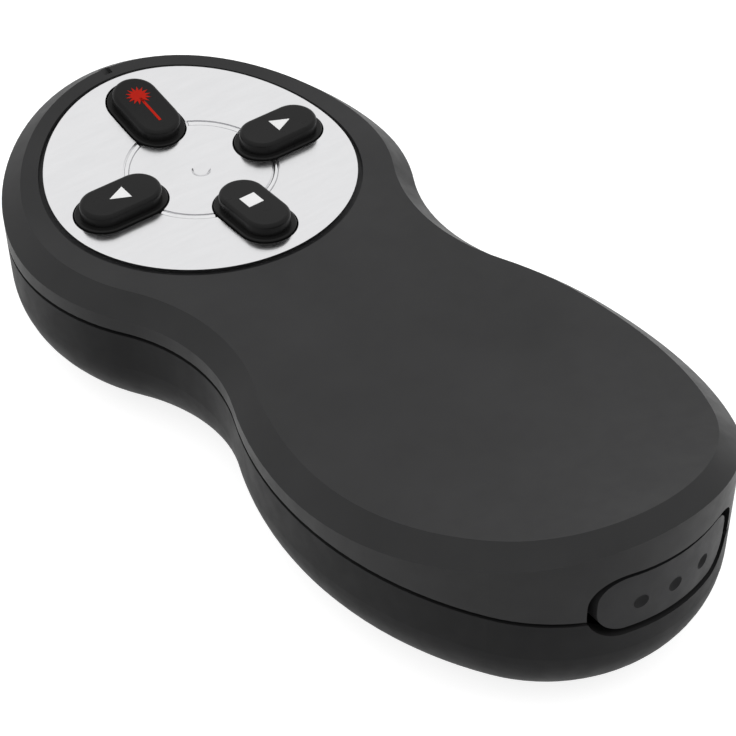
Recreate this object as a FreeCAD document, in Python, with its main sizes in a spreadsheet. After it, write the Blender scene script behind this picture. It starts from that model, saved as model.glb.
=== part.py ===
import FreeCAD, Part
import math
import os
import re

import Sketcher
from FreeCAD import Rotation, Vector

# A wireless presentation clicker. Its nose points along +Y, the keys face +Z, and the underside is at z = 0.
# Lengths along the case are counted from the centre of the control plate, forwards positive.

SIZES = {
    # case outline in plan, all arcs tangent to each other
    "head_radius": 24.1, "head_back": 1.5,
    "waist_radius": 20.7,
    "flank_half": 22.2, "flank_back": 48.6,
    "tail_radius": 19.0, "tail_back": 59.5,
    # case heights, the concave top and its edges
    "top_height": 18.2, "split_height": 13.7,
    "rise_front": 72.6, "rise_front_back": 4.0,
    "rise_tail": 80.0, "rise_tail_back": 44.0,
    "bevel_in": 2.4, "bevel_down": 2.2, "belly_radius": 9.0,
    "wall": 1.8, "groove_high": 0.5, "groove_deep": 0.6,
    "notch_wide": 1.1, "notch_deep": 0.9, "notch_long": 1.7,
    # control plate
    "plate_radius": 18.3, "plate_gap": 0.6, "plate_raise": 0.3, "plate_thick": 1.0,
    "ring_radius": 8.7, "ring_wide": 0.9, "ring_deep": 0.2, "dimple_radius": 1.38,
    # keys
    "key_reach": 11.1, "laser_reach": 11.6, "blank_reach": 10.7,
    "cap_half": 5.05, "cap_side": 2.75, "cap_high": 1.8, "cap_round": 0.45,
    "cap_step": 0.65, "skirt_high": 0.3, "skirt_round": 0.2,
    "flange_lip": 0.55, "flange_thick": 0.5, "flange_gap": 0.12,
    "key_gap": 0.2, "key_travel": 0.5, "stem_radius": 1.4, "foot_gap": 0.1,
    # board, mat and switches
    "board_gap": 0.15, "board_thick": 0.8, "board_radius": 18.2, "board_tongue": 26.0, "tongue_half": 12.5,
    "mat_thick": 0.6, "mat_radius": 17.4, "mat_gap": 0.5,
    "switch_side": 4.4, "switch_high": 0.5, "dome_radius": 1.5, "dome_high": 0.3,
    # laser
    "barrel_drop": 1.45, "barrel_radius": 2.9, "barrel_bore": 2.1, "barrel_gap": 0.7, "barrel_long": 10.6,
    "lens_thick": 1.2, "window_radius": 2.2, "window_thick": 1.2, "window_sink": 1.5, "cradle_half": 4.2,
    # battery cells and their bay
    "cell_radius": 5.25, "cell_long": 44.5, "cell_gap": 0.4, "cell_lift": 0.3,
    "bay_gap": 0.3, "rib_thick": 1.0, "contact_thick": 0.4, "spring_long": 3.0, "spring_wire": 0.35,
    "door_gap": 0.3, "rib_top": 10.0, "hinge_radius": 0.5, "hinge_reach": 0.7, "hinge_gap": 0.05,
    # screws and their posts
    "front_side": 10.5, "front_ahead": 12.0, "rear_side": 12.2, "rear_back": 60.0,
    "post_radius": 2.7, "shoulder_radius": 3.8, "post_gap": 0.3, "hanger_radius": 1.8, "hanger_side": 9.0,
    "hanger_back": 22.0, "screw_radius": 1.0, "screw_head": 2.1, "head_high": 1.4, "head_sink": 2.9,
    "head_gap": 0.2, "screw_top": 15.0,
    # receiver, its slot and its dock
    "grip_half": 8.3, "grip_high": 7.0, "grip_inset": 0.2, "grip_corner": 2.9, "grip_long": 5.4,
    "dimple_pitch": 4.1, "finger_dimple": 0.9, "dimple_drop": 0.5,
    "slot_side": 1.0, "slot_lift": 0.7, "receiver_height": 15.5,
    "hub_step": 0.9, "hub_long": 6.0, "plug_drop": 1.0,
    "plug_half": 6.0, "plug_high": 4.5, "plug_long": 12.0, "plug_wall": 0.3,
    "hub_wall": 0.8, "tongue_thick": 1.9, "pin_wide": 1.0, "pin_thick": 0.15,
    "dock_gap": 0.2, "dock_wall": 0.6, "dock_floor": 0.9, "dock_stop": 1.0, "dock_shy": 1.1, "dock_high": 5.0,
}

# sizes that follow from the ones above, so that what fits together stays together
TIED = {
    "skirt_half": "(cap_half + cap_step)", "skirt_side": "(cap_side + cap_step)",
    "flange_half": "(skirt_half + flange_lip)", "flange_side": "(skirt_side + flange_lip)",
    "cell_pitch": "(2 * cell_radius + cell_gap)",
    "bay_half": "(2 * cell_radius + cell_gap / 2 + bay_gap)",
    "bay_long": "(cell_long + spring_long + 2 * contact_thick)",
    "board_base": "(wall + cell_lift + 2 * cell_radius + board_gap)",
    "laser_height": "(board_base - barrel_drop - barrel_radius)",
    "window_start": "(head_radius - head_back - window_thick - window_sink)",
    "barrel_start": "(window_start - barrel_gap - barrel_long)",
    "slot_half": "(grip_half + slot_side)", "slot_high": "(grip_high + 2 * slot_lift)",
    "slot_corner": "(grip_corner + slot_lift)",
    "grip_inner": "(tail_back + tail_radius - grip_long)",
    "hub_half": "(grip_half - hub_step)", "hub_high": "(grip_high - 2 * hub_step)",
    "dock_end": "(grip_inner - dock_shy)",
    "dock_start": "(grip_inner - hub_long - plug_long - dock_stop - dock_gap)",
    "hinge_back": "(door_gap + wall / 2)",
}

doc = FreeCAD.newDocument("clicker")
sheet = doc.addObject("Spreadsheet::Sheet", "Sizes")
for row, (alias, value) in enumerate(SIZES.items(), start=1):
    sheet.set("A%d" % row, alias)
    sheet.set("B%d" % row, str(value))
    sheet.setAlias("B%d" % row, alias)
doc.recompute()

WORDS = re.compile(r"\b(%s)\b" % "|".join(sorted(SIZES, key=len, reverse=True)))
TIED_WORDS = re.compile(r"\b(%s)\b" % "|".join(sorted(TIED, key=len, reverse=True)))

# the plate's centre sits so that the case is centred on the origin
PLATE_Y = "(tail_radius + tail_back - head_radius + head_back) / 2"
FLANK_RADIUS = ("(flank_half ^ 2 + (tail_back - flank_back) ^ 2 - tail_radius ^ 2)"
                " / (2 * (flank_half - tail_radius))")


def untied(text):
    """The expression with every tied size written out."""
    while TIED_WORDS.search(text):
        text = TIED_WORDS.sub(lambda m: TIED[m.group(1)], text)
    return text


def formula(text):
    """The expression with every alias read from the sheet."""
    return WORDS.sub(r"Sizes.\1", untied(str(text)))


def num(text):
    """The present value of the same expression."""
    values = {alias: float(sheet.get(alias)) for alias in SIZES}
    term = WORDS.sub(lambda m: repr(values[m.group(1)]), untied(str(text))).replace("^", "**")
    cell = doc.getObject("Scratch") or doc.addObject("App::VarSet", "Scratch")
    if "value" not in cell.PropertiesList:
        cell.addProperty("App::PropertyFloat", "value")
    cell.setExpression("value", term.replace("**", "^"))
    cell.recompute()
    return float(cell.value)


def bind(thing, **sizes):
    for name, text in sizes.items():
        thing.setExpression(name, formula(text))


def along(text):
    """A length along the case, counted from the plate's centre, in the case's own frame."""
    return "%s + %s" % (PLATE_Y, text)


def place(thing, x="0", y="0", z="0"):
    """Puts a thing at x, y from the plate's centre and z above the underside."""
    thing.setExpression("Placement.Base.x", formula("(%s) * 1 mm" % x))
    thing.setExpression("Placement.Base.y", formula("(%s) * 1 mm" % along(y)))
    thing.setExpression("Placement.Base.z", formula("(%s) * 1 mm" % z))
    return thing


def block(name, wide, long, high, x="0", y="0", z="0"):
    """A box centred on x, from y forwards and from z upwards."""
    thing = doc.addObject("Part::Box", name)
    bind(thing, Length=wide, Width=long, Height=high)
    return place(thing, "(%s) - (%s) / 2" % (x, wide), y, z)


def rod(name, radius, height, x="0", y="0", z="0", turn=None):
    thing = doc.addObject("Part::Cylinder", name)
    bind(thing, Radius=radius, Height=height)
    if turn is not None:
        thing.Placement.Rotation = turn
    return place(thing, x, y, z)


FORWARD = Rotation(Vector(1, 0, 0), -90)
SIDEWAYS = Rotation(Vector(0, 1, 0), 90)


def cut(name, base, tool):
    thing = doc.addObject("Part::Cut", name)
    thing.Base, thing.Tool = base, tool
    return thing


def fuse(name, *pieces):
    thing = doc.addObject("Part::MultiFuse", name)
    thing.Shapes = list(pieces)
    return thing


def common(name, first, second):
    thing = doc.addObject("Part::MultiCommon", name)
    thing.Shapes = [first, second]
    return thing


def group(name, *pieces):
    thing = doc.addObject("Part::Compound", name)
    thing.Links = list(pieces)
    return thing


def plane_of(body, role):
    return [f for f in body.Origin.OriginFeatures if f.Role == role][0]


def sketch_on(body, name, role="XY_Plane", offset="0"):
    sketch = body.newObject("Sketcher::SketchObject", name)
    sketch.AttachmentSupport = [(plane_of(body, role), "")]
    sketch.MapMode = "FlatFace"
    sketch.setExpression("AttachmentOffset.Base.z", formula("(%s) * 1 mm" % offset))
    return sketch


def dimension(sketch, kind, refs, text, name):
    index = sketch.addConstraint(Sketcher.Constraint(kind, *refs, num(text)))
    sketch.renameConstraint(index, name)
    sketch.setExpression("Constraints." + name, formula("(%s) * 1 mm" % text))


def arc(centre, radius, start, end):
    a0 = math.atan2(start[1] - centre[1], start[0] - centre[0])
    a1 = math.atan2(end[1] - centre[1], end[0] - centre[0])
    circle = Part.Circle(Vector(centre[0], centre[1], 0), Vector(0, 0, 1), radius)
    return Part.ArcOfCircle(circle, a0, a1 if a1 > a0 else a1 + 2 * math.pi)


def toward(a, b, radius):
    d = math.hypot(b[0] - a[0], b[1] - a[1])
    return (a[0] + (b[0] - a[0]) * radius / d, a[1] + (b[1] - a[1]) * radius / d)


def outline(sketch, inset):
    """The plan of the case as six tangent arcs, drawn inset from its wall."""
    head, tail = (0.0, num(along("-head_back"))), (0.0, num(along("-tail_back")))
    r_head, r_tail = num("head_radius - (%s)" % inset), num("tail_radius - (%s)" % inset)
    r_waist, r_flank = num("waist_radius + (%s)" % inset), num("%s - (%s)" % (FLANK_RADIUS, inset))
    flank = (num("flank_half - %s" % FLANK_RADIUS), num(along("-flank_back")))
    reach_h, reach_f = r_head + r_waist, r_flank + r_waist
    span = math.hypot(head[0] - flank[0], head[1] - flank[1])
    lead = (reach_f ** 2 - reach_h ** 2 + span ** 2) / (2 * span)
    rise = math.sqrt(reach_f ** 2 - lead ** 2)
    ux, uy = (head[0] - flank[0]) / span, (head[1] - flank[1]) / span
    waist = (flank[0] + ux * lead + uy * rise, flank[1] + uy * lead - ux * rise)
    low = (tail[0] - flank[0], tail[1] - flank[1])
    d = math.hypot(*low)
    p_tail = (tail[0] + low[0] / d * r_tail, tail[1] + low[1] / d * r_tail)
    p_flank, p_head = toward(flank, waist, r_flank), toward(head, waist, r_head)
    m = lambda p: (-p[0], p[1])
    arcs = [arc(tail, r_tail, m(p_tail), p_tail), arc(flank, r_flank, p_tail, p_flank),
            arc(waist, r_waist, p_head, p_flank), arc(head, r_head, p_head, m(p_head)),
            arc(m(waist), r_waist, m(p_flank), m(p_head)), arc(m(flank), r_flank, m(p_flank), m(p_tail))]
    sketch.addGeometry(arcs, False)
    for a, pa, b, pb in ((0, 2, 1, 1), (1, 2, 2, 2), (2, 1, 3, 1), (3, 2, 4, 2), (4, 1, 5, 1), (5, 2, 0, 1)):
        sketch.addConstraint(Sketcher.Constraint("Tangent", a, pa, b, pb))
    sketch.addConstraint(Sketcher.Constraint("PointOnObject", 0, 3, -2))
    sketch.addConstraint(Sketcher.Constraint("PointOnObject", 3, 3, -2))
    dimension(sketch, "DistanceY", (-1, 1, 0, 3), along("-tail_back"), "tail_y")
    dimension(sketch, "DistanceY", (-1, 1, 3, 3), along("-head_back"), "head_y")
    dimension(sketch, "Radius", (0,), "tail_radius - (%s)" % inset, "tail_r")
    dimension(sketch, "Radius", (3,), "head_radius - (%s)" % inset, "head_r")
    for side, flank_arc, waist_arc, sign in (("right", 1, 2, ""), ("left", 5, 4, "-")):
        dimension(sketch, "DistanceX", (-1, 1, flank_arc, 3),
                  "%s(flank_half - %s)" % (sign, FLANK_RADIUS), side + "_flank_x")
        dimension(sketch, "DistanceY", (-1, 1, flank_arc, 3), along("-flank_back"), side + "_flank_y")
        dimension(sketch, "Radius", (waist_arc,), "waist_radius + (%s)" % inset, side + "_waist_r")


def saddle(name, lift):
    """Everything above the concave top once that is moved up by lift: the profile is two arcs and a flat."""
    body = doc.addObject("PartDesign::Body", name)
    sketch = sketch_on(body, name + "_profile", "YZ_Plane")
    z0 = num("top_height + (%s)" % lift)
    ends = []
    for radius, foot, reach in ((num("rise_front"), num(along("-rise_front_back")), 34.0),
                                (num("rise_tail"), num(along("-rise_tail_back")), -42.0)):
        angle = math.asin(reach / radius)
        ends.append((foot, radius, (foot + reach, z0 + radius * (1 - math.cos(angle)))))
    (y1, r1, p1), (y2, r2, p2) = ends
    roof = z0 + 30
    line = lambda a, b: Part.LineSegment(Vector(a[0], a[1], 0), Vector(b[0], b[1], 0))
    sketch.addGeometry([
        arc((y1, z0 + r1), r1, (y1, z0), p1), line(p1, (p1[0], roof)), line((p1[0], roof), (p2[0], roof)),
        line((p2[0], roof), p2), arc((y2, z0 + r2), r2, p2, (y2, z0)), line((y2, z0), (y1, z0))], False)
    for a, pa, b, pb in ((0, 2, 1, 1), (1, 2, 2, 1), (2, 2, 3, 1), (3, 2, 4, 1)):
        sketch.addConstraint(Sketcher.Constraint("Coincident", a, pa, b, pb))
    for a, pa, b, pb in ((4, 2, 5, 1), (5, 2, 0, 1)):
        sketch.addConstraint(Sketcher.Constraint("Tangent", a, pa, b, pb))
    for a in (1, 3):
        sketch.addConstraint(Sketcher.Constraint("Vertical", a))
    for a in (2, 5):
        sketch.addConstraint(Sketcher.Constraint("Horizontal", a))
    dimension(sketch, "Radius", (0,), "rise_front", "front_r")
    dimension(sketch, "Radius", (4,), "rise_tail", "tail_r")
    dimension(sketch, "DistanceX", (-1, 1, 0, 3), along("-rise_front_back"), "front_y")
    dimension(sketch, "DistanceX", (-1, 1, 4, 3), along("-rise_tail_back"), "tail_y")
    dimension(sketch, "DistanceY", (-1, 1, 0, 1), "top_height + (%s)" % lift, "height")
    dimension(sketch, "DistanceX", (0, 1, 0, 2), "34", "front_reach")
    dimension(sketch, "DistanceX", (4, 1, 4, 2), "42", "tail_reach")
    dimension(sketch, "DistanceY", (0, 1, 1, 2), "30", "roof")
    pad = body.newObject("PartDesign::Pad", name + "_pad")
    pad.Profile = sketch
    pad.Length = 90
    pad.SideType = "Symmetric"
    return body


def edges_where(shape, test):
    return ["Edge%d" % (i + 1) for i, edge in enumerate(shape.Edges) if test(edge)]


def hull(name, inset, lift):
    """A solid of the case's whole form, inset from its wall and with the top at lift."""
    body = doc.addObject("PartDesign::Body", name + "_block")
    sketch = sketch_on(body, name + "_plan", offset=inset)
    outline(sketch, inset)
    pad = body.newObject("PartDesign::Pad", name + "_pad")
    pad.Profile = sketch
    pad.Length = 40
    doc.recompute()
    floor = num(inset)
    fillet = body.newObject("PartDesign::Fillet", name + "_belly")
    fillet.Base = (pad, edges_where(pad.Shape, lambda e: e.BoundBox.ZMax < floor + 0.01))
    fillet.setExpression("Radius", formula("belly_radius - (%s)" % inset))
    return cut(name, body, saddle(name + "_above", lift))


def slot_plan(sketch, half, side, lengthways):
    """A pill outline about the origin, half long and side wide each way."""
    h, s = num(half), num(side)
    d = h - s
    p = (lambda a, b: (b, a)) if lengthways else (lambda a, b: (a, b))
    line = lambda a, b: Part.LineSegment(Vector(a[0], a[1], 0), Vector(b[0], b[1], 0))
    if lengthways:
        geo = [line((s, -d), (s, d)), arc((0, d), s, (s, d), (-s, d)),
               line((-s, d), (-s, -d)), arc((0, -d), s, (-s, -d), (s, -d))]
    else:
        geo = [line((-d, -s), (d, -s)), arc((d, 0), s, (d, -s), (d, s)),
               line((d, s), (-d, s)), arc((-d, 0), s, (-d, s), (-d, -s))]
    sketch.addGeometry(geo, False)
    for a in range(4):
        sketch.addConstraint(Sketcher.Constraint("Tangent", a, 2, (a + 1) % 4, 1))
    sketch.addConstraint(Sketcher.Constraint("Vertical" if lengthways else "Horizontal", 0))
    sketch.addConstraint(Sketcher.Constraint("Symmetric", 1, 3, 3, 3, -1, 1))
    dimension(sketch, "Radius", (1,), side, "end_r")
    kind = "DistanceY" if lengthways else "DistanceX"
    dimension(sketch, kind, (3, 3, 1, 3), "2 * ((%s) - (%s))" % (half, side), "run")


def pill(body, name, half, side, base, high, lengthways):
    sketch = sketch_on(body, name + "_plan", offset=base)
    slot_plan(sketch, half, side, lengthways)
    pad = body.newObject("PartDesign::Pad", name)
    pad.Profile = sketch
    bind(pad, Length="(%s) * 1 mm" % high)
    doc.recompute()
    return pad


def top_fillet(body, name, base, level, half, side, radius):
    """Rounds the upper rim of a pill whose top is at level."""
    z, far = num(level), math.hypot(num(half), num(side)) + 0.01
    fillet = body.newObject("PartDesign::Fillet", name)
    fillet.Base = (base, edges_where(base.Shape, lambda e: abs(e.BoundBox.ZMin - z) < 0.01
                                     and abs(e.BoundBox.ZMax - z) < 0.01 and e.BoundBox.YMax < far))
    fillet.setExpression("Radius", formula(radius))
    doc.recompute()
    return fillet


KEYS = {
    "laser": ("0", "laser_reach", True),
    "next": ("key_reach", "0", False),
    "blank": ("0", "-blank_reach", True),
    "previous": ("-key_reach", "0", False),
}


def key_tilt(key):
    """The lean of the concave surface under a key; the blank key stands on its flat."""
    return "0" if key == "blank" else "asin(((%s) + rise_front_back) / rise_front)" % KEYS[key][1]


def seat(thing, key):
    """Stands a thing on the plate under a key, square to the concave surface there."""
    x, y, lengthways = KEYS[key]
    if key == "blank":
        return place(thing, x, y, "top_height + plate_raise")
    thing.Placement.Rotation = Rotation(Vector(1, 0, 0), 1.0)
    thing.setExpression("Placement.Rotation.Angle", formula(key_tilt(key)))
    return place(thing, x, y, key_height(key))


def key_height(key):
    if key == "blank":
        return "top_height + plate_raise"
    return "top_height + plate_raise + rise_front * (1 - cos(%s))" % key_tilt(key)


def key_cutter(key, name, half, side, base, high):
    body = doc.addObject("PartDesign::Body", "%s_%s" % (name, key))
    pill(body, "%s_%s_pill" % (name, key), half, side, base, high, KEYS[key][2])
    return seat(body, key)


# Case forms
outer = hull("outer", "0", "0")
inner = hull("inner", "wall", "-wall")
doc.recompute()

# the bevel round the rim of the concave top
tops = [f for f in outer.Shape.Faces if f.BoundBox.ZMin > num("top_height") - 0.01]
rim = [(i, num("bevel_down"), num("bevel_in")) for i, edge in enumerate(outer.Shape.Edges, start=1)
       if sum(any(edge.isSame(e) for e in f.Edges) for f in tops) == 1]
bevelled = doc.addObject("Part::Chamfer", "bevelled")
bevelled.Base = outer
bevelled.Edges = rim
shell = cut("shell", bevelled, inner)

BIG = "60"
LONG = "180"
above_split = block("above_split", BIG, LONG, "30", "0", "-120", "split_height")
below_split = block("below_split", BIG, LONG, "split_height + 5", "0", "-120", "-5")

# the groove that shows as a dark parting line
groove_core = doc.addObject("PartDesign::Body", "groove_core")
core_plan = sketch_on(groove_core, "core_plan", offset="split_height - 1")
outline(core_plan, "groove_deep")
core_pad = groove_core.newObject("PartDesign::Pad", "core_pad")
core_pad.Profile = core_plan
core_pad.Length = 6
groove_slab = block("groove_slab", BIG, LONG, "groove_high", "0", "-120", "split_height")
groove = cut("groove", groove_slab, groove_core)

# Key wells, shared by the plate and the case so that both follow the keys
wells = [key_cutter(key, "well", "skirt_half + key_gap", "skirt_side + key_gap", "-7", "12") for key in KEYS]
key_wells = fuse("key_wells", *wells)

# Screw posts and board hangers
FRONT, REAR = ("front_side", "front_ahead"), ("rear_side", "-rear_back")
POSTS = [("a", FRONT[0], FRONT[1]), ("b", "-" + FRONT[0], FRONT[1]),
         ("c", REAR[0], REAR[1]), ("d", "-" + REAR[0], REAR[1])]
BOARD_TOP = "board_base + board_thick"
low_posts = [rod("low_post_" + n, "post_radius", "split_height", x, y) for n, x, y in POSTS]
high_posts = [rod("high_post_" + n, "post_radius", "12", x, y, "split_height") for n, x, y in POSTS]
shoulders = [rod("shoulder_" + n, "shoulder_radius", "12", x, y, BOARD_TOP) for n, x, y in POSTS[:2]]
hangers = [rod("hanger_" + n, "hanger_radius", "12", x, "-hanger_back", BOARD_TOP)
           for n, x in (("r", "hanger_side"), ("l", "-hanger_side"))]

# Receiver slot in the tail
slot_box = block("slot_box", "2 * slot_half", "14", "slot_high", "0", "-86", "receiver_height - slot_high / 2")
doc.recompute()


def lengthways_edges(thing):
    return [i for i, e in enumerate(thing.Shape.Edges, start=1)
            if e.BoundBox.YLength > 1 and e.BoundBox.XLength + e.BoundBox.ZLength < 0.01]


def rounded(name, base, radius):
    """Rounds the four long edges of a box that runs along the case."""
    thing = doc.addObject("Part::Fillet", name)
    thing.Base = base
    thing.Edges = [(i, num(radius), num(radius)) for i in lengthways_edges(base)]
    return thing


slot = rounded("slot", slot_box, "slot_corner")

# Top shell
high_room = cut("high_room", inner, fuse("high_posts", *high_posts))
top_solid = cut("top_solid", bevelled, high_room)
post_room = [rod("post_room_" + n, "post_radius + post_gap", "split_height", x, y) for n, x, y in POSTS[:2]]
board_stops = cut("board_stops", common("stops_inside", fuse("stop_rods", *(shoulders + hangers)), inner),
                  fuse("post_room", *post_room))
top_half = fuse("top_half", common("top_wall", top_solid, above_split), board_stops)
recess_round = rod("recess_round", "plate_radius + plate_gap", "20", "0", "0", "10")
recess = common("recess", recess_round, saddle("recess_floor", "plate_raise - plate_thick"))
notch_box = block("notch_box", "notch_wide", "notch_long + 4", "20", "0",
                  "head_radius - head_back - bevel_in - notch_long + 1", "10")
notch = common("notch", notch_box, saddle("notch_floor", "-notch_deep"))
pilots = [rod("pilot_" + n, "screw_radius", "screw_top - split_height + 1.2", x, y, "split_height - 1")
          for n, x, y in POSTS]
top_shell = cut("top_shell", top_half, fuse("top_cuts", groove, key_wells, recess, notch, slot, *pilots))

# Battery bay
bay_ribs = [
    block("rib_right", "rib_thick", "bay_long + 2 * rib_thick", "rib_top",
          "bay_half + rib_thick / 2", "-bay_long - rib_thick"),
    block("rib_left", "rib_thick", "bay_long + 2 * rib_thick", "rib_top",
          "-bay_half - rib_thick / 2", "-bay_long - rib_thick"),
    block("rib_front", "2 * bay_half + rib_thick", "rib_thick", "board_base", "0", "0"),
    block("rib_rear", "2 * bay_half + rib_thick", "rib_thick", "board_base", "0", "-bay_long - rib_thick")]
bay_mouth = block("bay_mouth", "2 * bay_half", "bay_long", "wall + 3", "0", "-bay_long", "-1")

# Laser cradle and outlet
cradle = block("cradle", "2 * cradle_half", "8", "laser_height", "0", "barrel_start + 1.4")
barrel_room = rod("barrel_room", "barrel_radius", "barrel_long", "0", "barrel_start", "laser_height", FORWARD)
outlet = rod("outlet", "window_radius", "8", "0", "window_start - 2", "laser_height", FORWARD)


def hinge_rod(name, radius, half):
    """A rod on the door's hinge line, reaching half to each side."""
    return rod(name, radius, "2 * (%s)" % half, "-(%s)" % half, "-hinge_back", "wall / 2", SIDEWAYS)


hinge_holes = hinge_rod("hinge_holes", "hinge_radius + hinge_gap", "bay_half + hinge_reach + 0.2")

# Bottom shell
low_room = cut("low_room", inner, fuse("low_ribs", *(low_posts + bay_ribs + [cradle])))
bottom_solid = cut("bottom_solid", bevelled, low_room)
bottom_half = common("bottom_half", bottom_solid, below_split)
shafts = [rod("shaft_" + n, "screw_radius", "split_height + 4", x, y, "-1") for n, x, y in POSTS]
sinks = [rod("sink_" + n, "screw_head + head_gap", "head_sink + 1", x, y, "-1") for n, x, y in POSTS]
bottom_shell = cut("bottom_shell", bottom_half,
                   fuse("bottom_cuts", slot, bay_mouth, barrel_room, outlet, hinge_holes, *(shafts + sinks)))

# Battery door, cut from the same wall: a round front edge with two pins, a stiffening rib and finger grooves
door_box = block("door_box", "2 * (bay_half - door_gap)", "bay_long - door_gap - hinge_back", "8", "0",
                 "-bay_long + door_gap", "-1")
door_skin = common("door_skin", shell, door_box)
door_rib = block("door_rib", "2", "cell_long - 8", "1.6", "0", "-(cell_long) + 2", "wall - 0.1")
door_grooves = [block("door_groove_%d" % i, "10", "0.8", "0.5", "0", "-bay_long + %s" % (4 + 1.8 * i), "-0.1")
                for i in range(4)]
door_edge = hinge_rod("door_edge", "wall / 2", "bay_half - door_gap")
door_pins = hinge_rod("door_pins", "hinge_radius", "bay_half + hinge_reach")
battery_door = cut("battery_door", fuse("door_whole", door_skin, door_edge, door_pins, door_rib),
                   fuse("door_cuts", *door_grooves))

# Control plate
plate_round = rod("plate_round", "plate_radius", "20", "0", "0", "10")
plate_blank = cut("plate_blank", common("plate_thickness", plate_round, saddle("plate_under",
                  "plate_raise - plate_thick")), saddle("plate_over", "plate_raise"))
ring_out = rod("ring_out", "ring_radius + ring_wide / 2", "20", "0", "0", "10")
ring_in = rod("ring_in", "ring_radius - ring_wide / 2", "22", "0", "0", "9")
ring = common("ring", cut("ring_tube", ring_out, ring_in), saddle("ring_floor", "plate_raise - ring_deep"))
dimple = doc.addObject("Part::Sphere", "dimple")
bind(dimple, Radius="dimple_radius")
place(dimple, "0", "0", "top_height + plate_raise + dimple_radius * 0.65")
control_plate = cut("control_plate", plate_blank, fuse("plate_cuts", key_wells, ring, dimple))

# Keys
STEM_FOOT = "(%s + switch_high + dome_high + key_travel + foot_gap)" % BOARD_TOP
FLANGE_BASE = "-(plate_raise + wall + flange_gap + flange_thick)"
keys = {}


def foot_height(key):
    """The height of a stem's foot at its middle, so that its low edge just misses the pressed dome."""
    return "%s + stem_radius * sin(%s)" % (STEM_FOOT, key_tilt(key))


for key, (x, y, lengthways) in KEYS.items():
    body = doc.addObject("PartDesign::Body", "button_" + key)
    skirt = pill(body, key + "_skirt", "skirt_half", "skirt_side", FLANGE_BASE,
                 "skirt_high - (%s)" % FLANGE_BASE, lengthways)
    top_fillet(body, key + "_skirt_round", skirt, "skirt_high", "skirt_half", "skirt_side", "skirt_round")
    cap = pill(body, key + "_cap", "cap_half", "cap_side", "0", "cap_high", lengthways)
    top_fillet(body, key + "_cap_round", cap, "cap_high", "cap_half", "cap_side", "cap_round")
    pill(body, key + "_flange", "flange_half", "flange_side", FLANGE_BASE, "flange_thick", lengthways)
    drop = "((%s - (%s)) / cos(%s))" % (key_height(key), foot_height(key), key_tilt(key))
    plan = sketch_on(body, key + "_stem_plan", offset="-(%s)" % drop)
    plan.addGeometry(Part.Circle(Vector(0, 0, 0), Vector(0, 0, 1), num("stem_radius")), False)
    plan.addConstraint(Sketcher.Constraint("Coincident", 0, 3, -1, 1))
    dimension(plan, "Radius", (0,), "stem_radius", "stem_r")
    stem = body.newObject("PartDesign::Pad", key + "_stem")
    stem.Profile = plan
    bind(stem, Length="(%s - 0.5) * 1 mm" % drop)
    keys[key] = seat(body, key)

# Circuit board with its mat, switches and chips
board_round = rod("board_round", "board_radius", "board_thick", "0", "0", "board_base")
board_tail = block("board_tail", "2 * tongue_half", "board_tongue", "board_thick",
                   "0", "-board_tongue", "board_base")
board_holes = [rod("board_hole_" + n, "post_radius + post_gap", "6", x, y, "board_base - 2")
               for n, x, y in POSTS[:2]]
circuit_board = cut("circuit_board", fuse("board_blank", board_round, board_tail),
                    fuse("board_holes", *board_holes))

mat_round = rod("mat_round", "mat_radius", "mat_thick", "0", "0", BOARD_TOP)
mat_holes = [rod("mat_hole_" + n, "shoulder_radius + post_gap", "6", x, y, "board_base")
             for n, x, y in POSTS[:2]]
for key, (x, y, lengthways) in KEYS.items():
    opening = doc.addObject("PartDesign::Body", "mat_opening_" + key)
    pill(opening, "mat_pill_" + key, "flange_half + mat_gap", "flange_side + mat_gap", "0", "8", lengthways)
    mat_holes.append(place(opening, x, y, "board_base"))
keypad_mat = cut("keypad_mat", mat_round, fuse("mat_holes", *mat_holes))

switches = []
for key, (x, y, lengthways) in KEYS.items():
    foot = "%s + (%s - (%s)) * tan(%s)" % (y, key_height(key), foot_height(key), key_tilt(key))
    base = block("switch_base_" + key, "switch_side", "switch_side", "switch_high", x,
                 "%s - switch_side / 2" % foot, BOARD_TOP)
    dome = rod("dome_" + key, "dome_radius", "dome_high", x, foot, "%s + switch_high" % BOARD_TOP)
    switches.append(fuse("switch_" + key, base, dome))
dome_switches = group("dome_switches", *switches)

radio_chip = block("radio_chip", "5", "5", "0.9", "-4.2", "-24.5", BOARD_TOP)
crystal = block("crystal", "3.2", "1.6", "0.8", "1.2", "-22", BOARD_TOP)
CHIP_SPOTS = (("-1.1", "-24.4"), ("-1.1", "-22.8"), ("1.2", "-24.4"),
              ("4.4", "-24.4"), ("4.4", "-22.8"), ("4.4", "-21.2"))
chip_parts = group("chip_parts", *[block("chip_part_%d" % i, "1", "0.5", "0.5", x, y, BOARD_TOP)
                                   for i, (x, y) in enumerate(CHIP_SPOTS)])

# Laser module
barrel_out = rod("barrel_out", "barrel_radius", "barrel_long", "0", "barrel_start", "laser_height", FORWARD)
barrel_in = rod("barrel_in", "barrel_bore", "barrel_long + 2", "0", "barrel_start - 1", "laser_height", FORWARD)
laser_barrel = cut("laser_barrel", barrel_out, barrel_in)
laser_lens = rod("laser_lens", "barrel_bore", "lens_thick", "0", "barrel_start + barrel_long - lens_thick - 1",
                 "laser_height", FORWARD)
diode_can = rod("diode_can", "barrel_bore", "4", "0", "barrel_start - 2", "laser_height", FORWARD)
leads = [rod("lead_%d" % i, "0.25", "3.2", x, "barrel_start - 5", "laser_height + %s" % z, FORWARD)
         for i, (x, z) in enumerate((("-1", "0"), ("1", "0"), ("0", "1")))]
laser_diode = fuse("laser_diode", diode_can, *leads)
laser_window = rod("laser_window", "window_radius", "window_thick",
                   "0", "window_start", "laser_height", FORWARD)

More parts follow.
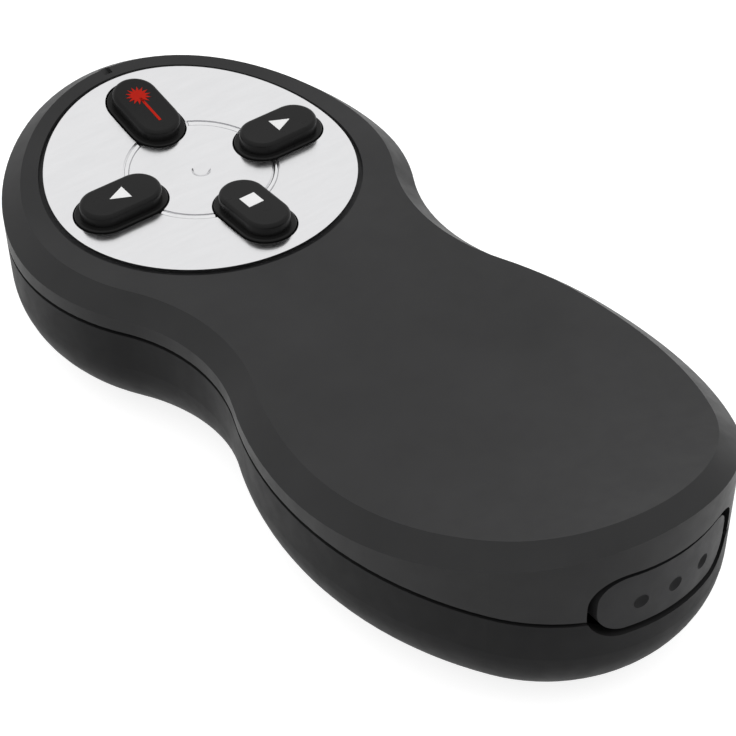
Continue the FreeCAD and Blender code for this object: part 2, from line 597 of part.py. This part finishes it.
# Battery cells, contacts and springs
CELL_Z = "wall + cell_lift + cell_radius"
cells = {}
for side, sign, rear in (("left", "-", "-(contact_thick + cell_long)"),
                         ("right", "", "-(contact_thick + spring_long + cell_long)")):
    x = "%scell_pitch / 2" % sign
    start = rear if side == "left" else "%s + 0.8" % rear
    can = rod("can_" + side, "cell_radius", "cell_long - 0.8", x, start, CELL_Z, FORWARD)
    nub_y = "-contact_thick - 1" if side == "left" else rear
    nub = rod("nub_" + side, "1.9", "1", x, nub_y, CELL_Z, FORWARD)
    cells[side] = fuse("battery_" + side, can, nub)


def coil(name, x, start):
    """A round wire spring between a contact and a cell, three turns, lying along the case."""
    wire, radius, long = num("spring_wire"), 3.0, num("spring_long")
    helix = Part.makeHelix((long - 2 * wire) / 3.0, long - 2 * wire, radius)
    ring_face = Part.Wire(Part.makeCircle(wire, Vector(radius, 0, 0), Vector(0, 1, 0)))
    solid = Part.Wire(helix.Edges).makePipeShell([ring_face], True, True)
    thing = doc.addObject("Part::Feature", name)
    thing.Shape = solid
    thing.Placement = FreeCAD.Placement(
        Vector(num(x), num(along(start)) + wire, num(CELL_Z)), FORWARD)
    return thing


def contact(name, x, y):
    return block(name, "7", "contact_thick", "8", x, y, "%s - 4" % CELL_Z)


battery_springs = group(
    "battery_springs",
    contact("spring_plate_left", "-cell_pitch / 2", "-bay_long"),
    coil("coil_left", "-cell_pitch / 2", "-(contact_thick + cell_long + spring_long)"),
    contact("spring_plate_right", "cell_pitch / 2", "-contact_thick"),
    coil("coil_right", "cell_pitch / 2", "-(contact_thick + spring_long)"))
battery_contacts = group("battery_contacts",
                         contact("flat_plate_left", "-cell_pitch / 2", "-contact_thick"),
                         contact("flat_plate_right", "cell_pitch / 2", "-bay_long"))

# Screws
screws = []
for n, x, y in POSTS:
    head = rod("screw_head_" + n, "screw_head", "head_high", x, y, "head_sink - head_high")
    shaft = rod("screw_shaft_" + n, "screw_radius", "screw_top - head_sink + 0.5", x, y, "head_sink - 0.5")
    slots = [block("drive_a_" + n, "2.4", "0.6", "0.8", x, "%s - 0.3" % y, "head_sink - head_high - 0.1"),
             block("drive_b_" + n, "0.6", "2.4", "0.8", x, "%s - 1.2" % y, "head_sink - head_high - 0.1")]
    screws.append(cut("screw_" + n, fuse("screw_blank_" + n, head, shaft), fuse("drive_" + n, *slots)))
case_screws = group("case_screws", *screws)

# Receiver
MID = "receiver_height"
grip_box = block("grip_box", "2 * grip_half", "12", "grip_high",
                 "0", "-grip_inner - 12", "%s - grip_high / 2" % MID)
doc.recompute()
grip_round = rounded("grip_round", grip_box, "grip_corner")
grip_face = rod("grip_face", "tail_radius - grip_inset", "40", "0", "-tail_back", "-2")
finger_dimples = []
for i in (-1, 0, 1):
    ball = doc.addObject("Part::Sphere", "finger_dimple_%d" % (i + 1))
    bind(ball, Radius="finger_dimple")
    back = "sqrt((tail_radius - grip_inset) ^ 2 - (%d * dimple_pitch) ^ 2)" % i
    finger_dimples.append(place(ball, "%d * dimple_pitch" % i, "-tail_back - %s - finger_dimple * 0.35" % back,
                                "%s - dimple_drop" % MID))
receiver_grip = cut("receiver_grip", common("grip_whole", grip_round, grip_face),
                    fuse("grip_dimples", *finger_dimples))
PLUG_MID = "(receiver_height - plug_drop)"
hub_out = block("hub_out", "2 * hub_half", "hub_long", "hub_high",
                "0", "-grip_inner", "%s - hub_high / 2" % PLUG_MID)
hub_in = block("hub_in", "2 * (hub_half - hub_wall)", "hub_long - hub_wall", "hub_high - 2 * hub_wall",
               "0", "-grip_inner", "%s - hub_high / 2 + hub_wall" % PLUG_MID)
receiver_case = cut("receiver_case", hub_out, hub_in)
receiver_board = block("receiver_board", "2 * (hub_half - hub_wall) - 0.2", "hub_long - hub_wall - 0.4", "0.8",
                       "0", "-grip_inner + 0.2", "%s - 0.4" % PLUG_MID)
PLUG_Y = "-grip_inner + hub_long"
plug_out = block("plug_out", "2 * plug_half", "plug_long", "plug_high",
                 "0", PLUG_Y, "%s - plug_high / 2" % PLUG_MID)
plug_in = block("plug_in", "2 * (plug_half - plug_wall)", "plug_long + 1", "plug_high - 2 * plug_wall",
                "0", PLUG_Y, "%s - plug_high / 2 + plug_wall" % PLUG_MID)
latches = [block("latch_" + n, "2.2", "2.4", "plug_high + 2",
                 x, "%s + 5.2" % PLUG_Y, "%s - plug_high / 2 - 1" % PLUG_MID)
           for n, x in (("r", "2.9"), ("l", "-2.9"))]
receiver_shield = cut("receiver_shield", plug_out, fuse("plug_cuts", plug_in, *latches))
TONGUE_Z = "%s + plug_high / 2 - plug_wall - tongue_thick" % PLUG_MID
receiver_tongue = block("receiver_tongue", "2 * (plug_half - plug_wall) - 0.4", "plug_long - 0.6", "tongue_thick",
                        "0", PLUG_Y, TONGUE_Z)
receiver_contacts = group("receiver_contacts", *[
    block("pin_%d" % i, "pin_wide", "plug_long - 4", "pin_thick",
          x, "%s + 2.6" % PLUG_Y, "%s - pin_thick" % TONGUE_Z)
    for i, x in enumerate(("-3.5", "-1", "1", "3.5"))])

# Dock that holds the stowed receiver
DOCK_IN = "(hub_half + dock_gap)"
DOCK_FLOOR = "(%s - hub_high / 2 - dock_gap - dock_floor)" % PLUG_MID
DOCK_LONG = "dock_end - dock_start"
DOCK_WIDE = "2 * (%s + dock_wall)" % DOCK_IN
dock_sides = [block("dock_side_" + n, "dock_wall", DOCK_LONG, "dock_high",
                    "%s(%s + dock_wall / 2)" % (sign, DOCK_IN), "-dock_end", DOCK_FLOOR)
              for n, sign in (("r", ""), ("l", "-"))]
dock_base = block("dock_base", DOCK_WIDE, DOCK_LONG, "dock_floor", "0", "-dock_end", DOCK_FLOOR)
dock_stop = block("dock_stopper", DOCK_WIDE, "dock_stop", "dock_high", "0", "-dock_start - dock_stop", DOCK_FLOOR)
dock_legs = [block("dock_leg_" + n, wide, "1", "%s - wall + 0.2" % DOCK_FLOOR, "0", y, "wall")
             for n, wide, y in (("front", "14", "-dock_start - dock_stop"), ("rear", "8", "-66"))]
receiver_dock = fuse("receiver_dock", dock_base, dock_stop, *(dock_sides + dock_legs))

NODES = {
    "top_shell": top_shell, "bottom_shell": bottom_shell, "battery_door": battery_door,
    "control_plate": control_plate, "button_laser": keys["laser"], "button_next": keys["next"],
    "button_blank": keys["blank"], "button_previous": keys["previous"], "keypad_mat": keypad_mat,
    "circuit_board": circuit_board, "dome_switches": dome_switches, "radio_chip": radio_chip,
    "crystal": crystal, "chip_parts": chip_parts, "laser_barrel": laser_barrel, "laser_lens": laser_lens,
    "laser_diode": laser_diode, "laser_window": laser_window, "battery_left": cells["left"],
    "battery_right": cells["right"], "battery_springs": battery_springs, "battery_contacts": battery_contacts,
    "case_screws": case_screws, "receiver_grip": receiver_grip, "receiver_case": receiver_case,
    "receiver_board": receiver_board, "receiver_shield": receiver_shield, "receiver_tongue": receiver_tongue,
    "receiver_contacts": receiver_contacts, "receiver_dock": receiver_dock,
}
for node, thing in NODES.items():
    thing.Label = node
doc.recompute()

faults = [o.Label for o in doc.Objects if "Invalid" in o.State or "Error" in o.State]
faults += [node for node, thing in NODES.items()
           if thing.Shape.isNull() or not thing.Shape.isValid() or not thing.Shape.Solids]
if faults:
    raise RuntimeError("faulty objects: " + ", ".join(faults))

os.makedirs("parts", exist_ok=True)
for node, thing in NODES.items():
    thing.Shape.exportStep("parts/%s.step" % node)
    print("%-18s solids %2d  volume %9.1f mm3" % (node, len(thing.Shape.Solids), thing.Shape.Volume))
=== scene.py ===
"""A wireless presentation clicker: a waisted black case with a key plate, four keys and a stowed receiver."""
import math

import bpy
import numpy as np
from mathutils import Matrix, Vector


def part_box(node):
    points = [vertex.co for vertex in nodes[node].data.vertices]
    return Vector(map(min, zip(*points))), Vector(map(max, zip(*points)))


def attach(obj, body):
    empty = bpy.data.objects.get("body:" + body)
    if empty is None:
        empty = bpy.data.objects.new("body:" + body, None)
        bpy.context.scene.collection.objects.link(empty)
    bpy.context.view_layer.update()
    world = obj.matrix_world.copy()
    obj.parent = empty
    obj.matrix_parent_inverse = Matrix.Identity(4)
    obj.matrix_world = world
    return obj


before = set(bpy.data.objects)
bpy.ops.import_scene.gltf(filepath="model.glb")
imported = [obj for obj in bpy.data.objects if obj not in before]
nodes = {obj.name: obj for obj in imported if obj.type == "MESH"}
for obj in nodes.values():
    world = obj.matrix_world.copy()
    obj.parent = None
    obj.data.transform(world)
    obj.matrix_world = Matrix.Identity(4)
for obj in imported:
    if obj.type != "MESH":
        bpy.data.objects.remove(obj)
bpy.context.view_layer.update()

MM = 0.001
PLATE_LOW, PLATE_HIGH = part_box("control_plate")
PLATE_Y = (PLATE_LOW[1] + PLATE_HIGH[1]) / 2  # the centre of the key plate along the case

# the concave top: flat, with an arc of RISE_FRONT that starts RISE_BACK behind the plate's centre
PLATE_RAISE, PLATE_THICK = 0.3 * MM, 1.0 * MM
TOP = PLATE_LOW[2] + PLATE_THICK - PLATE_RAISE
RISE_FRONT, RISE_BACK = 72.6 * MM, 4 * MM
CAP_HIGH, KEY_REACH, LASER_REACH, BLANK_REACH = 1.8 * MM, 11.1 * MM, 11.6 * MM, 10.7 * MM
RING_RADIUS, RING_DEEP = 8.7 * MM, 0.2 * MM


# Node helpers

# a colour mix node's sockets: the factor, the two colours and the result
MIX_FACTOR, MIX_FIRST, MIX_SECOND, MIX_RESULT = 0, 6, 7, 2


def new_material(name, **settings):
    """A material whose shader has those socket values; returns the material, its node tree and its shader."""
    material = bpy.data.materials.new(name)
    material.use_nodes = True
    tree = material.node_tree
    shader = tree.nodes["Principled BSDF"]
    for socket, value in settings.items():
        shader.inputs[socket.replace("_", " ")].default_value = value
    return material, tree, shader


def add(tree, kind, **values):
    """A new node; each value goes to its socket or, where it names none, to the node's setting."""
    node = tree.nodes.new(kind)
    for key, value in values.items():
        if key in node.inputs:
            node.inputs[key].default_value = value
        else:
            setattr(node, key, value)
    return node


def noise(tree, scale, detail=3.0, roughness=0.55, vector=None):
    """Smooth noise on object coordinates, scale in cells per metre."""
    node = add(tree, "ShaderNodeTexNoise", Scale=scale, Detail=detail, Roughness=roughness)
    tree.links.new(vector or add(tree, "ShaderNodeTexCoord").outputs["Object"], node.inputs["Vector"])
    return node.outputs["Fac"]


def ramp(tree, value, low, high, start=0.3, end=0.7):
    """Maps a value from start..end to low..high."""
    node = add(tree, "ShaderNodeMapRange")
    for key, number in (("From Min", start), ("From Max", end), ("To Min", low), ("To Max", high)):
        node.inputs[key].default_value = number
    tree.links.new(value, node.inputs["Value"])
    return node.outputs["Result"]


def tint(tree, value, dark, light):
    """Mixes two colours by a value."""
    node = add(tree, "ShaderNodeMix", data_type="RGBA")
    node.inputs[MIX_FIRST].default_value = (*dark, 1)
    node.inputs[MIX_SECOND].default_value = (*light, 1)
    tree.links.new(value, node.inputs[MIX_FACTOR])
    return node.outputs[MIX_RESULT]


def bump(tree, shader, height, strength, distance):
    """Tilts the shader's normal by the slope of a height, at that strength and depth in metres."""
    node = add(tree, "ShaderNodeBump", Strength=strength, Distance=distance)
    tree.links.new(height, node.inputs["Height"])
    tree.links.new(node.outputs["Normal"], shader.inputs["Normal"])


def moulded(name, dark, light, rough, grain=9000, strength=0.12, depth=0.02 * MM, **more):
    """Moulded or coated plastic: a fine grain, slow changes of tone and of roughness."""
    material, tree, shader = new_material(name, **more)
    fine, slow = noise(tree, grain, 2.0), noise(tree, 90, 4.0)
    tree.links.new(tint(tree, ramp(tree, slow, 0, 1), dark, light), shader.inputs["Base Color"])
    tree.links.new(ramp(tree, noise(tree, 500, 3.0), rough - 0.04, rough + 0.05), shader.inputs["Roughness"])
    bump(tree, shader, fine, strength, depth)
    return material


def metal(name, colour, rough, grain=2500, strength=0.03, stretch=(1, 1, 1)):
    """Metal with fine marks, drawn out along an axis where stretch says so."""
    material, tree, shader = new_material(name, Metallic=1.0)
    mapping = add(tree, "ShaderNodeMapping")
    mapping.inputs["Scale"].default_value = stretch
    tree.links.new(add(tree, "ShaderNodeTexCoord").outputs["Object"], mapping.inputs["Vector"])
    marks = noise(tree, grain, 3.0, vector=mapping.outputs["Vector"])
    dark = tuple(c * 0.93 for c in colour)
    tree.links.new(tint(tree, ramp(tree, marks, 0, 1), dark, colour), shader.inputs["Base Color"])
    tree.links.new(ramp(tree, marks, rough * 0.8, rough * 1.25), shader.inputs["Roughness"])
    bump(tree, shader, marks, strength, 0.01 * MM)
    return material


# Finishes

FINISHES = {
    "soft_touch": moulded("soft_touch", (0.028, 0.028, 0.0285), (0.034, 0.034, 0.0345), 0.46,
                          Specular_IOR_Level=0.12),
    # the lower case and battery door: the top's black plastic made darker and less glossy, as painted shade
    # for the case's sides
    "under_shell_painted_shade": moulded("under_shell_painted_shade", (0.018, 0.018, 0.0185), (0.023, 0.023, 0.0235), 0.5,
                           Specular_IOR_Level=0.06),
    "key_rubber": moulded("key_rubber", (0.008, 0.008, 0.008), (0.012, 0.012, 0.012), 0.3, 12000, 0.08,
                          Specular_IOR_Level=0.12),
    "grip_plastic": moulded("grip_plastic", (0.018, 0.018, 0.019), (0.024, 0.024, 0.025), 0.5, 14000, 0.2,
                            Specular_IOR_Level=0.15),
    "hub_plastic": moulded("hub_plastic", (0.02, 0.02, 0.02), (0.026, 0.026, 0.026), 0.4),
    "dock_plastic": moulded("dock_plastic", (0.012, 0.012, 0.012), (0.018, 0.018, 0.018), 0.5),
    "mat_silicone": moulded("mat_silicone", (0.10, 0.10, 0.11), (0.13, 0.13, 0.14), 0.55),
    "board_mask": moulded("board_mask", (0.012, 0.09, 0.035), (0.016, 0.12, 0.05), 0.3, 3000),
    "chip_resin": moulded("chip_resin", (0.015, 0.015, 0.016), (0.02, 0.02, 0.02), 0.5),
    "steel": metal("steel", (0.62, 0.61, 0.59), 0.3),
    "black_steel": metal("black_steel", (0.08, 0.08, 0.082), 0.35),
    "nickel": metal("nickel", (0.72, 0.70, 0.66), 0.2),
    "brass": metal("brass", (0.70, 0.52, 0.24), 0.25),
    "gold": metal("gold", (0.85, 0.62, 0.25), 0.2),
}

MATERIAL_OF = {
    "top_shell": "soft_touch", "bottom_shell": "under_shell_painted_shade", "battery_door": "under_shell_painted_shade",
    "button_laser": "key_rubber", "button_next": "key_rubber", "button_blank": "key_rubber",
    "button_previous": "key_rubber", "keypad_mat": "mat_silicone", "circuit_board": "board_mask",
    "dome_switches": "steel", "radio_chip": "chip_resin", "crystal": "steel", "chip_parts": "chip_resin",
    "laser_barrel": "brass", "laser_diode": "nickel",
    "battery_springs": "nickel", "battery_contacts": "nickel", "case_screws": "black_steel",
    "receiver_grip": "grip_plastic", "receiver_case": "hub_plastic", "receiver_board": "board_mask",
    "receiver_shield": "steel", "receiver_tongue": "hub_plastic", "receiver_contacts": "gold",
    "receiver_dock": "dock_plastic",
}


def glass(name, colour, rough):
    """Clear or tinted glass with a trace of smear."""
    material, tree, shader = new_material(name, IOR=1.5, Transmission_Weight=0.9)
    slow = noise(tree, 700, 3.0)
    pale = tuple(min(1, c * 1.1) for c in colour)
    tree.links.new(tint(tree, slow, colour, pale), shader.inputs["Base Color"])
    tree.links.new(ramp(tree, slow, rough, rough + 0.06), shader.inputs["Roughness"])
    return material


FINISHES["lens"] = glass("lens", (0.9, 0.93, 0.95), 0.02)
FINISHES["window"] = glass("window", (0.2, 0.02, 0.02), 0.05)
MATERIAL_OF["laser_lens"] = "lens"
MATERIAL_OF["laser_window"] = "window"


def plate_chrome():
    """Spun and polished plate: gloss drawn out round the middle, with faint polishing lines across it."""
    material, tree, shader = new_material("plate_chrome", Metallic=1.0, Anisotropic=0.6)
    spin = add(tree, "ShaderNodeTangent", direction_type="RADIAL", axis="Z")
    tree.links.new(spin.outputs["Tangent"], shader.inputs["Tangent"])
    mapping = add(tree, "ShaderNodeMapping")
    mapping.inputs["Scale"].default_value = (1, 6, 1)
    tree.links.new(add(tree, "ShaderNodeTexCoord").outputs["Object"], mapping.inputs["Vector"])
    lines = noise(tree, 160, 4.0, vector=mapping.outputs["Vector"])
    tree.links.new(tint(tree, lines, (0.73, 0.73, 0.74), (0.80, 0.80, 0.81)), shader.inputs["Base Color"])
    tree.links.new(ramp(tree, lines, 0.14, 0.20), shader.inputs["Roughness"])
    bump(tree, shader, lines, 0.02, 0.01 * MM)
    return material


COPPER_LONG = 13 * MM


def cell_wrap(name, node, forwards):
    """A cell's printed jacket: copper over COPPER_LONG next to its plus end, dark grey from there on."""
    material, tree, shader = new_material(name)
    low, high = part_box(node)
    end = high[1] if forwards else low[1]
    parts = add(tree, "ShaderNodeSeparateXYZ")
    tree.links.new(add(tree, "ShaderNodeTexCoord").outputs["Object"], parts.inputs[0])
    edge = end - COPPER_LONG if forwards else end + COPPER_LONG
    step = 0.1 * MM if forwards else -0.1 * MM
    dark = ramp(tree, parts.outputs["Y"], 1.0, 0.0, edge - step, edge + step)
    slow = noise(tree, 600, 3.0)
    copper = tint(tree, slow, (0.60, 0.27, 0.12), (0.68, 0.33, 0.16))
    grey = tint(tree, slow, (0.018, 0.018, 0.020), (0.028, 0.028, 0.031))
    whole = add(tree, "ShaderNodeMix", data_type="RGBA")
    for socket, value in ((MIX_FACTOR, dark), (MIX_FIRST, copper), (MIX_SECOND, grey)):
        tree.links.new(value, whole.inputs[socket])
    tree.links.new(whole.outputs[MIX_RESULT], shader.inputs["Base Color"])
    tree.links.new(ramp(tree, dark, 0.9, 0.0, 0, 1), shader.inputs["Metallic"])
    tree.links.new(ramp(tree, slow, 0.24, 0.32), shader.inputs["Roughness"])
    bump(tree, shader, slow, 0.05, 0.02 * MM)
    return material


FINISHES["cell_left"] = cell_wrap("cell_left", "battery_left", True)
FINISHES["cell_right"] = cell_wrap("cell_right", "battery_right", False)
MATERIAL_OF["battery_left"], MATERIAL_OF["battery_right"] = "cell_left", "cell_right"
FINISHES["plate_chrome"] = plate_chrome()
MATERIAL_OF["control_plate"] = "plate_chrome"

for node_name, finish in MATERIAL_OF.items():
    mesh_object = nodes[node_name]
    mesh_object.data.materials.clear()
    mesh_object.data.materials.append(FINISHES[finish])


# Printed symbols on the keys

def key_frame(x, y):
    """The place and tilt of a key: the plate's surface point under (x, y) and the slope there."""
    slope = max(0.0, (y + RISE_BACK) / RISE_FRONT)
    tilt = math.asin(slope)
    z = TOP + PLATE_RAISE + RISE_FRONT * (1 - math.cos(tilt))
    return Matrix.Translation((x, y + PLATE_Y, z)) @ Matrix.Rotation(tilt, 4, "X")


def printed(name, outline, place, material, body, height=CAP_HIGH, thick=0.03 * MM):
    """A thin printed shape: the closed outline, in metres on the cap's top, extruded by thick."""
    points = np.asarray(outline, float)
    count = len(points)
    lower = np.column_stack([points, np.full(count, height - 0.01 * MM)])
    upper = np.column_stack([points, np.full(count, height + thick)])
    verts = np.vstack([lower, upper])
    turn = np.array(place)
    verts = verts @ turn[:3, :3].T + turn[:3, 3]
    ring = np.arange(count)
    after = (ring + 1) % count
    sides = np.column_stack([ring, after, after + count, ring + count])
    faces = [list(map(int, f)) for f in sides]
    faces += [list(range(count - 1, -1, -1)), list(range(count, 2 * count))]
    mesh = bpy.data.meshes.new(name)
    mesh.from_pydata(verts.tolist(), [], faces)
    mesh.materials.append(material)
    thing = bpy.data.objects.new(name, mesh)
    bpy.context.scene.collection.objects.link(thing)
    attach(thing, body)
    return thing


WHITE_INK = moulded("white_ink", (0.82, 0.82, 0.82), (0.88, 0.88, 0.88), 0.45, 9000, 0.05)
RED_INK = moulded("red_ink", (0.42, 0.008, 0.001), (0.48, 0.012, 0.002), 0.42, 9000, 0.05,
                  Specular_IOR_Level=0.1)
RING_CHROME = metal("ring_chrome", (0.80, 0.80, 0.81), 0.1, 900, 0.02)


def triangle(centre, reach, half, side):
    """A triangle about a centre that points along x, to side."""
    tip, back = centre + side * reach, centre - side * reach
    return [(tip, 0), (back, -side * half), (back, side * half)]


def square(half, forward):
    """A square about a point forward of the key's middle."""
    return [(-half, forward - half), (half, forward - half), (half, forward + half), (-half, forward + half)]


def starburst(centre, inner, outer, spikes):
    """Thin spikes about a centre on the y axis: the radius goes from inner to outer and back at each spike."""
    steps = np.arange(2 * spikes)
    angles = steps * math.pi / spikes - math.pi / 2
    radii = np.where(steps % 2 == 1, inner, outer)
    return np.column_stack([radii * np.cos(angles), centre + radii * np.sin(angles)])


NEXT, PREVIOUS = key_frame(KEY_REACH, 0), key_frame(-KEY_REACH, 0)
BLANK, LASER = key_frame(0, -BLANK_REACH), key_frame(0, LASER_REACH)
printed("symbol_next", triangle(0.55 * MM, 1.15 * MM, 1.1 * MM, 1), NEXT, WHITE_INK, "key_next")
printed("symbol_previous", triangle(-0.3 * MM, 1.15 * MM, 1.1 * MM, -1), PREVIOUS, WHITE_INK, "key_previous")
printed("symbol_blank", square(1.0 * MM, 0.5 * MM), BLANK, WHITE_INK, "key_blank")
printed("symbol_laser", starburst(1.75 * MM, 0.85 * MM, 1.55 * MM, 14), LASER, RED_INK, "key_laser")
BEAM_HALF, BEAM_BACK, BEAM_FRONT = 0.17 * MM, -3.0 * MM, 1.3 * MM
BEAM = [(-BEAM_HALF, BEAM_BACK), (BEAM_HALF, BEAM_BACK), (BEAM_HALF, BEAM_FRONT), (-BEAM_HALF, BEAM_FRONT)]
printed("symbol_beam", BEAM, LASER, RED_INK, "key_laser")


BEAD_HALF, BEAD_HIGH, BEAD_ARC = 0.3 * MM, 0.26 * MM, 42


def ring_bead(name, start, end):
    """A bright bead in the plate's ring between two keys.

    Its middle runs round a circle of RING_RADIUS from start to end, in degrees, and its height follows the
    plate's arc. Its section is a half ellipse, BEAD_HALF wide each way, that stands BEAD_HIGH over the
    ring's floor.
    """
    turn, lift = np.radians(np.linspace(start, end, 60)), np.linspace(0, math.pi, 13)
    across, above = BEAD_HALF * np.cos(lift), BEAD_HIGH * np.sin(lift)
    radius = RING_RADIUS + across[None, :]
    x, y = radius * np.cos(turn)[:, None], radius * np.sin(turn)[:, None]
    slope = np.maximum(0, (y + RISE_BACK) / RISE_FRONT)
    base = TOP + PLATE_RAISE - RING_DEEP + RISE_FRONT * (1 - np.sqrt(1 - slope ** 2))
    points = np.stack([x, y + PLATE_Y, base + above[None, :]], axis=2).reshape(-1, 3)
    rows, width = len(turn), len(lift)
    faces = []
    for row in range(0, (rows - 1) * width, width):
        for j in range(width):
            after = (j + 1) % width
            faces.append([row + j, row + after, row + width + after, row + width + j])
    faces += [list(range(width))[::-1], list(range((rows - 1) * width, rows * width))]
    mesh = bpy.data.meshes.new(name)
    mesh.from_pydata(points.tolist(), [], faces)
    mesh.polygons.foreach_set("use_smooth", [True] * (len(faces) - 2) + [False] * 2)
    mesh.materials.append(RING_CHROME)
    thing = bpy.data.objects.new(name, mesh)
    bpy.context.scene.collection.objects.link(thing)
    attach(thing, "casing")


for quarter, first in (("front_right", 24), ("front_left", 114), ("back_left", 204), ("back_right", 294)):
    ring_bead("ring_" + quarter, first, first + BEAD_ARC)


# Room

def plane(name, corners, material):
    """One flat face through the corners, kept out of the part itself."""
    mesh = bpy.data.meshes.new(name)
    mesh.from_pydata(corners, [], [tuple(range(len(corners)))])
    mesh.materials.append(material)
    thing = bpy.data.objects.new(name, mesh)
    bpy.context.scene.collection.objects.link(thing)
    return thing


def seen_directly(tree):
    """1 for rays from the camera, off gloss or through glass, else 0."""
    path = add(tree, "ShaderNodeLightPath")
    value = path.outputs["Is Camera Ray"]
    for kind in ("Is Glossy Ray", "Is Transmission Ray"):
        either = add(tree, "ShaderNodeMath", operation="MAXIMUM")
        tree.links.new(value, either.inputs[0])
        tree.links.new(path.outputs[kind], either.inputs[1])
        value = either.outputs[0]
    return value


FLOOR_GLOW, FLOOR_HALF, FLOOR_DROP = 0.82, 3, 0.0001


def white_floor():
    """White to the camera, gloss and glass, with the object's soft shadow left on it, and open from below."""
    material, tree, shader = new_material("floor_white", Roughness=0.9, Specular_IOR_Level=0.0)
    shader.inputs["Base Color"].default_value = (0.5, 0.5, 0.5, 1)
    shader.inputs["Emission Color"].default_value = (1, 1, 1, 1)
    tree.links.new(ramp(tree, seen_directly(tree), 0.0, FLOOR_GLOW, 0, 1), shader.inputs["Emission Strength"])
    sides = add(tree, "ShaderNodeMixShader")
    tree.links.new(add(tree, "ShaderNodeNewGeometry").outputs["Backfacing"], sides.inputs[0])
    tree.links.new(shader.outputs[0], sides.inputs[1])
    tree.links.new(add(tree, "ShaderNodeBsdfTransparent").outputs[0], sides.inputs[2])
    tree.links.new(sides.outputs[0], tree.nodes["Material Output"].inputs["Surface"])
    return material


SIGNS = ((-1, -1), (1, -1), (1, 1), (-1, 1))
plane("floor", [(x * FLOOR_HALF, y * FLOOR_HALF, -FLOOR_DROP) for x, y in SIGNS], white_floor())

world = bpy.data.worlds.new("studio")
bpy.context.scene.world = world
world.use_nodes = True
tree = world.node_tree
background = tree.nodes["Background"]
background.inputs["Color"].default_value = (1, 1, 1, 1)
# white to the camera, in gloss and through glass; everything else gets a dimmer, even light
DIM, WHITE = 0.36, 1.0
tree.links.new(ramp(tree, seen_directly(tree), DIM, WHITE, 0, 1), background.inputs["Strength"])


def lamp(name, place, aim, size, power):
    """A rectangular lamp at place that faces aim; size in metres, power in watts."""
    light = bpy.data.lights.new(name, "AREA")
    light.shape, light.size, light.size_y, light.energy = "RECTANGLE", size[0], size[1], power
    thing = bpy.data.objects.new(name, light)
    bpy.context.scene.collection.objects.link(thing)
    thing.visible_glossy = False  # gloss shows the white studio alone, so the plate doesn't clip
    thing.location = place
    thing.rotation_euler = (Vector(aim) - Vector(place)).to_track_quat("-Z", "Y").to_euler()


lamp("key_light", (-0.12, 0.12, 0.50), (0, 0, 0.01), (0.88, 0.88), 2.5)
lamp("fill_light", (0.30, -0.25, 0.40), (0, 0, 0.01), (0.50, 0.50), 0.8)

# Camera: a pinhole fitted to the photograph, its place in units of UNIT from the plate's centre
camera_data = bpy.data.cameras.new("camera")
camera = bpy.data.objects.new("camera", camera_data)
bpy.context.scene.collection.objects.link(camera)
bpy.context.scene.camera = camera
UNIT, PHOTO_WIDTH, SENSOR = 9 * MM, 736, 36
EYE = Vector((-10.678, -17.343, 14.740)) * UNIT + Vector((0, PLATE_Y, TOP))
AZIMUTH, ELEVATION, FOCAL = math.radians(37.61), math.radians(41.92), 1914.5
forward = Vector((math.sin(AZIMUTH) * math.cos(ELEVATION), math.cos(AZIMUTH) * math.cos(ELEVATION),
                  -math.sin(ELEVATION)))
right = Vector((0.7861, -0.6181, -0.0110)).normalized()
up = right.cross(forward).normalized()
camera.matrix_world = Matrix.Translation(EYE) @ Matrix((right, up, -forward)).transposed().to_4x4()
camera_data.sensor_width = SENSOR
camera_data.lens = FOCAL / PHOTO_WIDTH * SENSOR
camera_data.clip_start = 0.01
bpy.context.scene.view_settings.view_transform = "Standard"
